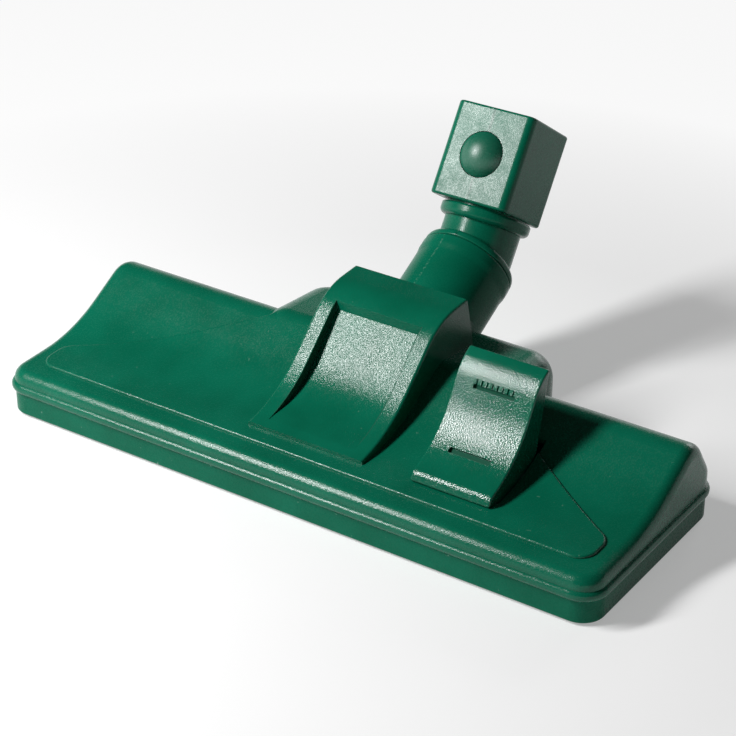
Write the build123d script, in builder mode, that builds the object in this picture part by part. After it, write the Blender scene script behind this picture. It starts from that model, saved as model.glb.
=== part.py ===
from build123d import *
import os
from math import asin, atan2, cos, radians, sin, tan

# A vacuum floor brush head: a wedge-shaped head with a foot pedal that drops two rows of
# bristles, a tilting tube under an arched hood, and a bent neck that ends in a square plug.
# Millimetres. X runs along the head, Y from its front to its back, Z up. The origin is on the
# floor under the middle of the head.

# Head outline and walls
head_width = 299.0
head_depth = 105.0
corner_radius = 10.0
wall = 2.2
base_height = 10.0
sole_thick = 1.0
rim_reach = 1.5
rim_height = 4.6

# Section of the head's top: front shelf, rise to the ridge and rear slope
shelf_height = 20.9
heel_y = -7.7
heel_height = 22.0
heel_radius = 75.0
ridge_y = 32.75
ridge_height = 44.9
ridge_radius = 12.0
rear_height = 17.8
top_round = 5.0

# Raised panel on the top, and the pod behind it
panel_rise = 1.2
panel_front_margin = 11.5
panel_side_margin = 9.5
panel_turn_y = -22.0
panel_neck_half = 58.0
panel_neck_y = 26.0
panel_corner = 8.0
panel_edge = 1.0
pod_half = 64.6
pod_front = 20.0
pod_back = 72.1
pod_height = 43.5
pod_fall = 5.0
pod_round = 13.75
pod_shoulder = 12.0

# Hood over the tilting joint
hood_width = 58.0
hood_wall = 2.6
hood_front_pitch = 8.13
hood_front_land = 0.7
hood_heel_y = -11.2
hood_heel_height = 27.1
hood_heel_radius = 60.0
hood_brow_y = 27.0
hood_brow_height = 63.3
hood_brow_radius = 30.0
hood_back = 48.4
hood_back_foot = 54.0
hood_height = 64.4
hood_edge = 1.2
sunk_width = 43.4
sunk_margin = 4.8
sunk_back = 24.2
sunk_heel_y = -2.0
sunk_heel_height = 28.3
sunk_heel_radius = 45.0
sunk_back_height = 55.4
sunk_depth = 5.8
peg_radius = 1.1
peg_depth = 4.0
peg_rows = (10.0, 38.0)

# Pedal
pedal_x = 70.65
pedal_width = 37.3
pedal_wall = 2.2
pedal_nose_depth = 2.4
pedal_nose_radius = 4.0
pedal_lip_pitch = 19.9
pedal_lip_land = 2.45
pedal_heel_y = -9.8
pedal_heel_height = 33.9
pedal_heel_radius = 48.0
pedal_brow_y = 6.7
pedal_brow_height = 62.5
pedal_brow_radius = 20.0
pedal_back = 14.5
pedal_crest = 3.5
pedal_lean = 13.0
pedal_skirt = 14.0
pedal_edge = 0.8
pedal_pivot_y = -4.0
pedal_pivot_height = 16.0
pin_radius = 1.5
pin_lobe = 4.3
mark_width = 19.5
mark_height = 2.5
mark_depth = 1.4
mark_lower = 0.245
mark_upper = 0.71
stroke_count = 8
stroke_width = 0.7
stroke_length = 2.2
spring_reach = 12.0
spring_rise = 4.0
rib_rise = 22.0

# Tilting tube
pivot_y = 50.0
pivot_height = 29.3
tube_angle = 28.3
tube_radius = 21.7
tube_bore = 18.2
tube_length = 50.3
collar_radius = 22.2
collar_length = 7.5
drum_radius = 21.0
drum_half = 21.5
drum_wall = 2.2
window_low = -32.0
window_high = 20.0
window_half = 17.5
trunnion_radius = 5.0
trunnion_length = 5.6

# Neck, ring and square plug
neck_angle = 56.5
neck_radius = 17.7
neck_bore = 15.2
flange_radius = 22.0
flange_thick = 4.0
flange_round = 2.6
bend_reach = 6.9
spigot_length = 16.0
spigot_wall = 2.4
ring_start = 13.3
ring_length = 5.8
ring_radius = 20.8
plug_start = 19.8
plug_side = 39.4
plug_offset = 3.0
plug_length = 43.4
plug_wall = 3.3
plug_corner = 3.5
clip_radius = 19.2
clip_width = 1.8
clip_offset = 11.0
clip_gap = 6.0

# Button in the plug's front face
button_radius = 10.25
button_rise = 6.0
button_flange = 11.9
button_flange_thick = 1.4
leaf_width = 8.0
leaf_thick = 0.5
leaf_reach = 19.0
lug_offset = 17.5
lug_width = 3.0

# Sole: suction channel, brush slots, lint strips, wheels and screws
channel_margin = 26.0
channel_front = -13.0
channel_back = 7.0
channel_height = 8.4
channel_wall = 1.8
channel_flange = 3.0
channel_flange_thick = 1.2
mouth_half = 18.0
bridge_width = 6.0
mouth_margin = 2.0
duct_wall = 2.0
duct_front_height = 17.4
duct_knee_y = 21.0
duct_knee_height = 34.2
duct_height = 47.0
seal_thick = 1.5
brush_margin = 24.0
brush_front_y = -30.0
brush_rear_y = 24.0
brush_rear_start = 28.0
slot_width = 8.0
bar_width = 7.0
bar_height = 7.2
arm_width = 10.0
arm_thick = 2.0
arm_inner = 34.0
arm_inset = 6.0
guide_radius = 2.5
guide_y = -3.0
tuft_pitch = 5.2
tuft_radius = 1.7
tuft_clear = 1.0
strip_width = 4.0
strip_height = 3.8
lint_margin = 30.0
lint_width = 5.0
lint_inset = 0.2
wheel_margin = 44.0
wheel_rear_margin = 13.0
wheel_radius = 7.0
wheel_width = 9.0
axle_radius = 1.5
axle_length = 16.0
well_wall = 1.6
screw_inner = 45.0
screw_side_margin = 14.0
screw_front_margin = 9.0
screw_rear_margin = 10.0
screw_radius = 1.45
screw_length = 11.0
screw_head_radius = 3.0
screw_head_height = 1.8
boss_radius = 3.6

# Clearances
run_gap = 0.3
fit_gap = 0.1
side_gap = 0.8
lift_gap = 0.8

# Worked out from the sizes above
half_w = head_width / 2 - rim_reach
half_d = head_depth / 2 - rim_reach
floor_top = sole_thick + wall
base_top = sole_thick + base_height
rim_top = base_top + rim_height
channel_top = channel_height + channel_wall
tall = 3 * hood_height
panel_half = half_w - panel_side_margin
panel_front = panel_front_margin - half_d
channel_half = half_w - channel_margin
brush_half = half_w - brush_margin
lint_half = half_w - lint_margin
wheel_x = half_w - wheel_margin
wheel_y = half_d - wheel_rear_margin
arm_rows = (arm_inner, min(channel_half, brush_half) - arm_inset)
screw_columns = (screw_inner, half_w - screw_side_margin)
screw_rows = (screw_front_margin - half_d, half_d - screw_rear_margin)
rise_grade = (ridge_height - heel_height) / (ridge_y - heel_y)
pod_knee_y = heel_y + (pod_height - panel_rise - heel_height) / rise_grade

# Front legs of the hood and of the pedal: each leaves room for the rounding of the heel behind it
hood_rise = atan2(hood_brow_height - hood_heel_height, hood_brow_y - hood_heel_y)
hood_pitch = radians(hood_front_pitch)
hood_leg = hood_heel_radius * tan((hood_rise - hood_pitch) / 2) + hood_front_land
hood_front = hood_heel_y - hood_leg * cos(hood_pitch)
hood_front_height = hood_heel_height - hood_leg * sin(hood_pitch)
sunk_front = hood_front + sunk_margin
pedal_rise = atan2(pedal_brow_height - pedal_heel_height, pedal_brow_y - pedal_heel_y)
pedal_pitch = radians(pedal_lip_pitch)
pedal_leg = pedal_heel_radius * tan((pedal_rise - pedal_pitch) / 2) + pedal_lip_land
pedal_lip_y = pedal_heel_y - pedal_leg * cos(pedal_pitch)
pedal_lip_height = pedal_heel_height - pedal_leg * sin(pedal_pitch)
pedal_front = pedal_lip_y - pedal_nose_depth
pedal_height = pedal_brow_height + pedal_crest


def shelf_z(y):
    """Height of the front shelf at y."""
    return shelf_height + (y + half_d) * (heel_height - shelf_height) / (heel_y + half_d)


def rise_z(y):
    """Height of the rise between the shelf and the ridge at y."""
    return heel_height + (y - heel_y) * rise_grade


def pod_z(y):
    """Height of the pod's top at y: it starts where the rise reaches it and falls to the rear."""
    return pod_height - (y - pod_knee_y) * tan(radians(pod_fall))


def slab(x_low, x_high, y_low, y_high, z_low, z_high):
    """Upright block between two corners, kept apart from any open part."""
    middle = ((x_low + x_high) / 2, (y_low + y_high) / 2, (z_low + z_high) / 2)
    block = Box(x_high - x_low, y_high - y_low, z_high - z_low, mode=Mode.PRIVATE)
    return block.moved(Location(middle))


def rod(x_low, x_high, y, z, radius):
    """Cylinder along X, kept apart from any open part."""
    round_bar = Cylinder(radius, x_high - x_low, rotation=(0, 90, 0), mode=Mode.PRIVATE)
    return round_bar.moved(Location(((x_low + x_high) / 2, y, z)))


def post(x, y, z_low, z_high, radius):
    """Cylinder along Z, kept apart from any open part."""
    upright = Cylinder(radius, z_high - z_low, mode=Mode.PRIVATE)
    return upright.moved(Location((x, y, (z_low + z_high) / 2)))


def polygon_yz(points):
    """Face in the YZ plane from a closed run of points."""
    with BuildSketch(Plane.YZ) as face:
        with BuildLine():
            Polyline(*points, close=True)
        make_face()
    return face.sketch


def head_section(lift, low, inset=0.0):
    """Section of the head, raised by lift, down to low, and drawn in by inset."""
    with BuildSketch(Plane.YZ) as face:
        with BuildLine():
            front = (-half_d, shelf_height + lift)
            back = (half_d, rear_height + lift)
            FilletPolyline(
                front,
                (heel_y, heel_height + lift),
                (ridge_y, ridge_height + lift),
                back,
                radius=[heel_radius, ridge_radius],
            )
            Polyline(back, (half_d, low), (-half_d, low), front)
        make_face()
        if inset:
            offset(amount=-inset)
    return face.sketch


def brow_edges(part, half_depth, low):
    """Edges where the top of a head form meets its walls."""
    chosen = []
    for edge in part.edges():
        middle = edge.center()
        direction = edge.tangent_at(0.5)
        across = abs(direction.X) > 0.99 and abs(middle.Y) < half_depth - 0.1
        if middle.Z > low and abs(direction.Z) < 0.99 and not across:
            chosen.append(edge)
    return chosen


# Outer form of the head above the seam, used by the cover and by what sits on it
with BuildPart() as shell_form:
    extrude(head_section(0, base_top), amount=half_w, both=True)
    with BuildSketch():
        RectangleRounded(2 * half_w, 2 * half_d, corner_radius)
    extrude(amount=tall, mode=Mode.INTERSECT)
    fillet(brow_edges(shell_form.part, half_d, base_top + 0.5), top_round)

with BuildPart() as panel_form:
    extrude(head_section(panel_rise, base_top), amount=half_w, both=True)
    with BuildSketch():
        with BuildLine():
            FilletPolyline(
                (0, panel_front),
                (panel_half, panel_front),
                (panel_half, panel_turn_y),
                (panel_neck_half, panel_neck_y),
                (panel_neck_half, ridge_y),
                (0, ridge_y),
                radius=[panel_corner, panel_corner, panel_corner / 2, 0],
            )
            mirror(about=Plane.YZ)
        make_face()
    extrude(amount=tall, mode=Mode.INTERSECT)
    panel_rim = [
        edge
        for edge in panel_form.edges()
        if edge.center().Z > base_top + 0.5
        and edge.center().Y < ridge_y - 0.1
        and abs(edge.tangent_at(0.5).Z) < 0.95
        and not (abs(edge.tangent_at(0.5).X) > 0.99 and edge.center().Y > panel_front + 0.1)
    ]
    fillet(panel_rim, panel_edge)


def pod_block(inset):
    """Pod drawn in by inset: its front follows the rise and its top falls to the rear."""
    half = pod_half - inset
    back = pod_back - inset
    with BuildPart() as block:
        with BuildSketch(Plane.YZ) as side_face:
            with BuildLine():
                start = (pod_front, rise_z(pod_front) + panel_rise)
                end = (pod_back, pod_z(pod_back))
                FilletPolyline(start, (pod_knee_y, pod_height), end, radius=[pod_shoulder])
                Polyline(end, (pod_back, rim_top), (pod_front, rim_top), start)
            make_face()
            if inset:
                offset(amount=-inset)
        extrude(side_face.sketch, amount=half, both=True)
        fillet(block.edges().filter_by(Axis.Z).group_by(Axis.Y)[-1], pod_round - inset)
        shoulder = []
        for edge in block.edges():
            middle = edge.center()
            outside = abs(middle.X) > half - pod_round or middle.Y > back - 0.1
            upright = abs(edge.tangent_at(0.5).Z) > 0.99
            if outside and not upright and middle.Z > rise_z(pod_front) - pod_round:
                shoulder.append(edge)
        fillet(shoulder, pod_shoulder - inset)
    return block.part


with BuildPart() as head_form:
    add(shell_form.part)
    add(panel_form.part)
    add(pod_block(0))

# Hollows inside that form
with BuildPart() as shell_hollow:
    extrude(head_section(0, -base_top, wall), amount=half_w - wall, both=True)
    with BuildSketch(Plane.XY.offset(-tall / 2)):
        RectangleRounded(2 * (half_w - wall), 2 * (half_d - wall), corner_radius - wall)
    extrude(amount=2 * tall, mode=Mode.INTERSECT)
    fillet(brow_edges(shell_hollow.part, half_d - wall, base_top), top_round - wall)

# Middle of the walls, where bosses and bearing caps end
with BuildPart() as wall_middle:
    extrude(head_section(0, base_top, wall / 2), amount=half_w - wall / 2, both=True)
    add(pod_block(wall / 2))

# Places that several pieces share
slot_half = tube_radius + 1.0
seal_radius = drum_radius + run_gap + fit_gap
seal_back = seal_radius + seal_thick
slot_front = pivot_y - seal_back - duct_wall - 0.5
bearing_in = drum_half + 1.4
bearing_out = drum_half + trunnion_length
bearing_front = pivot_y - 8.0
bearing_back = pivot_y + 8.0
pedal_left = pedal_x - pedal_width / 2
pedal_right = pedal_x + pedal_width / 2
opening_front = pedal_front + 6.0
opening_back = pedal_back - 1.8
boss_foot = floor_top + 2.0
screw_seat = boss_foot - 2.2
screw_spots = [
    (side * column, row)
    for side in (-1, 1)
    for column in screw_columns
    for row in screw_rows
]
hood_half = hood_width / 2
peg_x = hood_half - hood_wall / 2
wheel_spots = (-wheel_x, wheel_x)
well_half = wheel_width / 2 + 1.5
well_reach = wheel_radius + 1.2
rear_slots = [
    sorted((side * (brush_rear_start - 2), side * (brush_half + 2)))
    for side in (-1, 1)
]
lint_front_y = channel_front - lint_width / 2 - 2.0
lint_rear_y = channel_back + lint_width / 2 + 2.0
duct_half = mouth_half + duct_wall
channel_side = channel_half + channel_wall
channel_face_front = channel_front - channel_wall
channel_face_back = channel_back + channel_wall
mouth_front = channel_front + mouth_margin
mouth_back = channel_back - mouth_margin
carrier_low = channel_top - lift_gap
carrier_top = carrier_low + bar_height
finger_y = brush_rear_y
finger_z = carrier_top + 3.0
finger_radius = 2.0
finger_half = 7.0
fork_in = 3.55
fork_thick = 3.2
post_thick = 3.0
post_depth = 9.0
spring_x = pedal_x + 11.35
anchor_x = spring_x + 2.0
anchor_thick = 2.5
anchor_depth = 6.0
wire_radius = 0.6
wire_hole = wire_radius + fit_gap / 2
wire_end_y = pedal_pivot_y - 0.8
wire_end_z = pedal_pivot_height + 8.0
rib_low = spring_x - 4.5
rib_top = pedal_pivot_height + rib_rise

# Upper moulding of the head, with its rim bead, screw bosses and bearing caps
with BuildPart() as rim_form:
    with BuildSketch(Plane.XY.offset(base_top)):
        RectangleRounded(head_width, head_depth, corner_radius + rim_reach)
    extrude(amount=rim_height)
    rim_levels = rim_form.edges().group_by(Axis.Z)
    fillet(rim_levels[0] + rim_levels[-1], rim_height / 2 - 0.1)

with BuildPart() as cover_inside:
    for spot in screw_spots:
        add(post(*spot, boss_foot, tall, boss_radius))
    for side in (-1, 1):
        low, high = sorted((side * bearing_in, side * bearing_out))
        add(slab(low, high, bearing_front, bearing_back, pivot_height, tall))
    add(wall_middle.part, mode=Mode.INTERSECT)
    for spot in screw_spots:
        add(post(*spot, boss_foot, rim_top, boss_radius))

with BuildPart() as top_cover:
    add(head_form.part)
    add(rim_form.part)
    add(shell_hollow.part, mode=Mode.SUBTRACT)
    add(pod_block(wall), mode=Mode.SUBTRACT)
    add(cover_inside.part)
    pilot = screw_radius + fit_gap / 2
    for spot in screw_spots:
        add(post(*spot, boss_foot - 1, screw_seat + screw_length + 1, pilot), mode=Mode.SUBTRACT)
    add(slab(-slot_half, slot_half, slot_front, tall, -1, tall), mode=Mode.SUBTRACT)
    post_room = bearing_out + run_gap
    room_front = half_d - wall - 1
    room_back = bearing_back + run_gap
    add(slab(-post_room, post_room, room_front, room_back, -1, pivot_height), mode=Mode.SUBTRACT)
    add(rod(-post_room, post_room, pivot_y, pivot_height, trunnion_radius + run_gap), mode=Mode.SUBTRACT)
    gate_left = pedal_left - side_gap
    gate_right = pedal_right + side_gap
    add(slab(gate_left, gate_right, opening_front, opening_back, base_top, tall), mode=Mode.SUBTRACT)
    for side in (-1, 1):
        for row in peg_rows:
            add(post(side * peg_x, row, base_top, tall, peg_radius + fit_gap / 2), mode=Mode.SUBTRACT)

# Lower moulding: floor, walls, locating lip, bearing brackets, wheel wells and screw pads
with BuildPart() as base_tray:
    with BuildSketch(Plane.XY.offset(sole_thick)):
        RectangleRounded(2 * half_w, 2 * half_d, corner_radius)
    extrude(amount=base_height)
    fillet(base_tray.faces().sort_by(Axis.Z)[0].edges(), 0.6)
    with BuildSketch(Plane.XY.offset(base_top - 3)):
        lip_in = wall + fit_gap
        RectangleRounded(2 * (half_w - lip_in), 2 * (half_d - lip_in), corner_radius - lip_in)
    extrude(amount=5)
    with BuildSketch(Plane.XY.offset(floor_top)):
        lip_in = wall + fit_gap + 1.2
        RectangleRounded(2 * (half_w - lip_in), 2 * (half_d - lip_in), corner_radius - lip_in)
    extrude(amount=tall, mode=Mode.SUBTRACT)
    for spot in screw_spots:
        add(post(*spot, sole_thick, boss_foot, screw_head_radius + 2))
    for x in wheel_spots:
        well_x = well_half + well_wall
        well_y = well_reach + well_wall
        well_top = 2 * wheel_radius + 0.8 + well_wall
        add(slab(x - well_x, x + well_x, wheel_y - well_y, wheel_y + well_y, sole_thick, well_top))
    for side in (-1, 1):
        low, high = sorted((side * bearing_in, side * bearing_out))
        bracket = polygon_yz([
            (bearing_front, floor_top - 1),
            (half_d - 1, floor_top - 1),
            (bearing_back, rim_top - rim_height / 2),
            (bearing_back, pivot_height),
            (bearing_front, pivot_height),
        ])
        add(extrude(bracket, amount=high - low, mode=Mode.PRIVATE).moved(Location((low, 0, 0))))
    hole_x = channel_side + fit_gap
    hole_low = channel_face_front - fit_gap
    hole_high = channel_face_back + fit_gap
    add(slab(-hole_x, hole_x, hole_low, hole_high, 0, floor_top + 1), mode=Mode.SUBTRACT)
    front_low = brush_front_y - slot_width / 2
    front_high = brush_front_y + slot_width / 2
    add(slab(-brush_half - 2, brush_half + 2, front_low, front_high, 0, floor_top + 1), mode=Mode.SUBTRACT)
    for low, high in rear_slots:
        rear_low = brush_rear_y - slot_width / 2
        rear_high = brush_rear_y + slot_width / 2
        add(slab(low, high, rear_low, rear_high, 0, floor_top + 1), mode=Mode.SUBTRACT)
    for spot in screw_spots:
        add(post(*spot, 0, screw_seat, screw_head_radius + run_gap), mode=Mode.SUBTRACT)
        add(post(*spot, 0, boss_foot + 1, screw_radius + run_gap), mode=Mode.SUBTRACT)
    for x in wheel_spots:
        well_top = 2 * wheel_radius + 0.8
        low, high = wheel_y - well_reach, wheel_y + well_reach
        add(slab(x - well_half, x + well_half, low, high, 0, well_top), mode=Mode.SUBTRACT)
        reach = axle_length / 2 + fit_gap
        add(rod(x - reach, x + reach, wheel_y, wheel_radius, axle_radius + fit_gap / 2), mode=Mode.SUBTRACT)
    notch_low = pivot_height - collar_radius
    add(slab(-slot_half, slot_half, half_d - 2 * wall, tall, notch_low, tall), mode=Mode.SUBTRACT)
    seat_x = bearing_out + 1
    add(rod(-seat_x, seat_x, pivot_y, pivot_height, trunnion_radius + run_gap), mode=Mode.SUBTRACT)

# Suction channel: a trough that drops through the tray's floor onto the sole, with the guide
# posts of the brush carrier, the pedal's posts and the spring's anchor on its roof
with BuildPart() as channel_insert:
    add(slab(-channel_side, channel_side, channel_face_front, channel_face_back, sole_thick, channel_top))
    flange_x = channel_side + channel_flange
    flange_low = channel_face_front - channel_flange
    flange_high = channel_face_back + channel_flange
    flange_top = floor_top + channel_flange_thick
    add(slab(-flange_x, flange_x, flange_low, flange_high, floor_top, flange_top))
    for side in (-1, 1):
        for column in arm_rows:
            guide_top = carrier_top + arm_thick + 3
            add(post(side * column, guide_y, channel_top - 1, guide_top, guide_radius))
    post_front = pedal_pivot_y - post_depth / 2
    post_back = pedal_pivot_y + post_depth / 2
    post_top = pedal_pivot_height + post_depth / 2
    for low in (gate_left - post_thick, gate_right):
        add(slab(low, low + post_thick, post_front, post_back, channel_top - 1, post_top))
    anchor_front = pedal_pivot_y - anchor_depth / 2
    anchor_back = pedal_pivot_y + anchor_depth / 2
    anchor_top = channel_top + 4
    add(slab(anchor_x, anchor_x + anchor_thick, anchor_front, anchor_back, channel_top - 1, anchor_top))
    trough = slab(-channel_half, channel_half, channel_front, channel_back, 0, channel_height)
    add(trough, mode=Mode.SUBTRACT)
    add(slab(-mouth_half, mouth_half, mouth_front, mouth_back, 0, channel_top + 1), mode=Mode.SUBTRACT)
    pin_low = gate_left - post_thick - 1
    pin_high = gate_right + post_thick + 1
    pin_hole = pin_radius + fit_gap / 2
    add(rod(pin_low, pin_high, pedal_pivot_y, pedal_pivot_height, pin_hole), mode=Mode.SUBTRACT)
    add(rod(anchor_x - 1, anchor_x + 4, pedal_pivot_y, channel_top + 2, wire_hole), mode=Mode.SUBTRACT)

# Arched hood over the joint: outer form less the head under it, with a sunk panel and pegs
with BuildSketch(Plane.YZ) as hood_profile:
    with BuildLine():
        FilletPolyline(
            (hood_front, hood_front_height),
            (hood_heel_y, hood_heel_height),
            (hood_brow_y, hood_brow_height),
            (hood_back, hood_height),
            radius=[hood_heel_radius, hood_brow_radius],
        )
        Polyline(
            (hood_back, hood_height),
            (hood_back_foot, pod_z(hood_back_foot)),
            (hood_back_foot, rim_top + wall),
            (hood_front, rim_top + wall),
            (hood_front, hood_front_height),
        )
    make_face()

with BuildSketch(Plane.YZ) as sunk_profile:
    with BuildLine():
        front_grade = (hood_heel_height - hood_front_height) / (hood_heel_y - hood_front)
        sunk_start = (sunk_front, hood_front_height + (sunk_front - hood_front) * front_grade)
        sunk_end = (sunk_back, sunk_back_height)
        FilletPolyline(
            sunk_start,
            (sunk_heel_y, sunk_heel_height),
            sunk_end,
            radius=[sunk_heel_radius],
        )
        Polyline(sunk_end, (sunk_back, hood_height), (sunk_front, hood_height), sunk_start)
    make_face()

with BuildPart() as joint_hood:
    extrude(hood_profile.sketch, amount=hood_half, both=True)
    long_edges = [
        edge
        for edge in joint_hood.edges()
        if abs(abs(edge.center().X) - hood_half) < 0.01
        and edge.center().Z > hood_front_height + 0.5
        and edge.center().Y < hood_back - 0.5
    ]
    fillet(long_edges, hood_edge)
    with BuildSketch(Plane.YZ) as deep_profile:
        add(hood_profile.sketch_local)
        offset(amount=-hood_wall - sunk_depth)
    extrude(deep_profile.sketch, amount=hood_half - hood_wall, both=True, mode=Mode.SUBTRACT)
    with BuildSketch(Plane.YZ) as rear_profile:
        add(hood_profile.sketch_local)
        offset(amount=-hood_wall)
        with Locations((sunk_back + 4.5 + tall / 2, tall / 2)):
            Rectangle(tall, tall, mode=Mode.INTERSECT)
        rear_low = hood_back - 2 * hood_wall
        rear_high = hood_back_foot + hood_wall
        with Locations(((rear_low + rear_high) / 2, tall / 2)):
            Rectangle(rear_high - rear_low, tall)
        with Locations((0, hood_height - hood_wall + tall / 2)):
            Rectangle(tall, tall, mode=Mode.SUBTRACT)
    extrude(rear_profile.sketch, amount=hood_half - hood_wall, both=True, mode=Mode.SUBTRACT)
    extrude(sunk_profile.sketch, amount=sunk_width / 2, both=True, mode=Mode.SUBTRACT)
    add(head_form.part, mode=Mode.SUBTRACT)
    for side in (-1, 1):
        for row in peg_rows:
            deck = min(rise_z(row) + panel_rise, pod_z(row))
            add(post(side * peg_x, row, deck - peg_depth, deck + 1.5, peg_radius))

# Foot pedal: hollow rocker with two marks, pin lobes, a spring rib and the arm that works the carrier
lean = tan(radians(pedal_lean))
lip_z = shelf_z(pedal_front) + panel_rise + 0.4
skirt_front = opening_front + 0.6
skirt_back = pedal_back - (pedal_height - pedal_skirt) * lean

with BuildLine() as pedal_crown:
    FilletPolyline(
        (pedal_lip_y, pedal_lip_height),
        (pedal_heel_y, pedal_heel_height),
        (pedal_brow_y, pedal_brow_height),
        (pedal_back, pedal_height),
        radius=[pedal_heel_radius, pedal_brow_radius],
    )

with BuildSketch(Plane.YZ) as pedal_profile:
    with BuildLine():
        add(pedal_crown.line)
        Polyline(
            (pedal_back, pedal_height),
            (skirt_back, pedal_skirt),
            (skirt_front, pedal_skirt),
            (skirt_front, lip_z),
            (pedal_front, lip_z),
            (pedal_lip_y, pedal_lip_height),
        )
    make_face()
    fillet(pedal_profile.vertices().sort_by(Axis.X)[1], pedal_nose_radius)


def crown_plane(share):
    """Plane on the pedal's crown at a share of its length, facing outward."""
    spot = pedal_crown.line @ share
    along = pedal_crown.line % share
    return Plane(origin=(pedal_x, spot.X, spot.Y), x_dir=(1, 0, 0), z_dir=(0, -along.Y, along.X))


with BuildPart() as pedal:
    extrude(pedal_profile.sketch.moved(Location((pedal_x, 0, 0))), amount=pedal_width / 2, both=True)
    fillet([edge for edge in pedal.edges() if edge.center().Z > pedal_skirt + 0.1], pedal_edge)
    with BuildSketch(Plane.YZ) as pedal_inside:
        add(pedal_profile.sketch_local)
        offset(amount=-pedal_wall)
        with Locations(((skirt_front + skirt_back) / 2, pedal_skirt)):
            Rectangle(skirt_back - skirt_front - 2 * pedal_wall, 3 * pedal_wall)
    pedal_core = pedal_inside.sketch.moved(Location((pedal_x, 0, 0)))
    extrude(pedal_core, amount=pedal_width / 2 - pedal_wall, both=True, mode=Mode.SUBTRACT)
    bar_mark = 0.7 * mark_height
    for share, height in ((mark_lower, mark_height), (mark_upper, bar_mark)):
        with BuildSketch(crown_plane(share)):
            RectangleRounded(mark_width, height, 0.4)
        extrude(amount=mark_depth, both=True, mode=Mode.SUBTRACT)
    with BuildSketch(crown_plane(mark_upper)):
        with Locations((0, bar_mark / 2 + stroke_length / 2)):
            with GridLocations(mark_width / stroke_count, 1, stroke_count, 1):
                Rectangle(stroke_width, stroke_length)
    extrude(amount=mark_depth, both=True, mode=Mode.SUBTRACT)
    for low in (pedal_left, pedal_right - pedal_wall):
        add(rod(low, low + pedal_wall, pedal_pivot_y, pedal_pivot_height, pin_lobe))
    add(slab(rib_low, rib_low + 2.5, wire_end_y - 2.5, wire_end_y + 2.5, wire_end_z - 2, rib_top))
    arm_start = pedal_back - (pedal_height - finger_z) * lean - pedal_wall / 2
    add(slab(pedal_x - 3, pedal_x + 3, arm_start, finger_y, finger_z - 2.5, finger_z + 2.5))
    add(rod(pedal_x - finger_half, pedal_x + finger_half, finger_y, finger_z, finger_radius))
    pin_bore = pin_radius + run_gap
    pin_way = rod(pedal_left - 1, pedal_right + 1, pedal_pivot_y, pedal_pivot_height, pin_bore)
    add(pin_way, mode=Mode.SUBTRACT)
    add(rod(rib_low - 1, rib_low + 4, wire_end_y, wire_end_z, wire_hole), mode=Mode.SUBTRACT)

# Pivot pin of the pedal, held in the two posts
with BuildPart() as pedal_pin:
    pin_in = gate_left - post_thick - 0.5
    pin_out = gate_right + post_thick + 0.5
    add(rod(pin_in, pin_out, pedal_pivot_y, pedal_pivot_height, pin_radius))
    chamfer(pedal_pin.edges().filter_by(GeomType.CIRCLE), 0.3)

# Over-centre wire spring between the base and the pedal
with BuildPart() as pedal_spring:
    with BuildLine() as wire_path:
        FilletPolyline(
            (anchor_x + 2.3, pedal_pivot_y, channel_top + 2),
            (spring_x, pedal_pivot_y, channel_top + 2),
            (spring_x, pedal_pivot_y - spring_reach, channel_top + 3.3),
            (spring_x, pedal_pivot_y - spring_reach, pedal_pivot_height + spring_rise),
            (spring_x, wire_end_y, wire_end_z),
            (rib_low + 0.2, wire_end_y, wire_end_z),
            radius=[1.2, 2.5, 2.5, 1.2],
        )
    with BuildSketch(Plane(origin=wire_path.line @ 0, z_dir=wire_path.line % 0)):
        Circle(wire_radius)
    sweep()

# Axes of the tilting tube and of the neck, each with a half-plane for turned forms
tube_dir = Vector(0, cos(radians(tube_angle)), sin(radians(tube_angle)))
tube_base = Vector(0, pivot_y, pivot_height)
tube_line = Axis(tube_base, tube_dir)
tube_half = Plane(origin=tube_base, x_dir=(1, 0, 0), z_dir=(0, -tube_dir.Z, tube_dir.Y))
flange_start = tube_length + run_gap
bend = tube_base + tube_dir * (flange_start + bend_reach)
neck_dir = Vector(0, cos(radians(neck_angle)), sin(radians(neck_angle)))
neck_line = Axis(bend, neck_dir)
neck_face = Vector(0, -neck_dir.Z, neck_dir.Y)
neck_half = Plane(origin=bend, x_dir=(1, 0, 0), z_dir=neck_face)
button_along = plug_start + plug_length / 2
plug_middle = bend + neck_face * plug_offset
plug_plane = Plane(origin=plug_middle, x_dir=(1, 0, 0), z_dir=neck_dir)
plug_floor = 2.0
button_base = plug_middle + neck_dir * button_along
button_plane = Plane(origin=button_base, x_dir=(1, 0, 0), z_dir=neck_face)
button_half = Plane(origin=button_base, x_dir=(1, 0, 0), z_dir=-neck_dir)
plug_face = plug_side / 2
plug_inner = plug_face - plug_wall
clip_low = flange_start - clip_offset - clip_width
clip_high = clip_low + clip_width
spigot_radius = tube_bore - run_gap
spigot_bore = spigot_radius - spigot_wall
clip_seat = spigot_radius - 1.0
tube_start = 12.0


def turned(points, plane, axis):
    """Solid turned about an axis from a closed run of (radius, distance) points."""
    with BuildSketch(plane) as face:
        with BuildLine():
            Polyline(*points, close=True)
        make_face()
    return revolve(face.sketch, axis=axis, mode=Mode.PRIVATE)


def bar(plane, axis, start, end, radius):
    """Cylinder about one of the slanted axes."""
    return turned([(0, start), (radius, start), (radius, end), (0, end)], plane, axis)


def window_ray(angle):
    """Point outside the drum, at an angle above the line forward from the pivot."""
    reach = 1.6 * drum_radius
    return (pivot_y - reach * cos(radians(angle)), pivot_height + reach * sin(radians(angle)))


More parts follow.
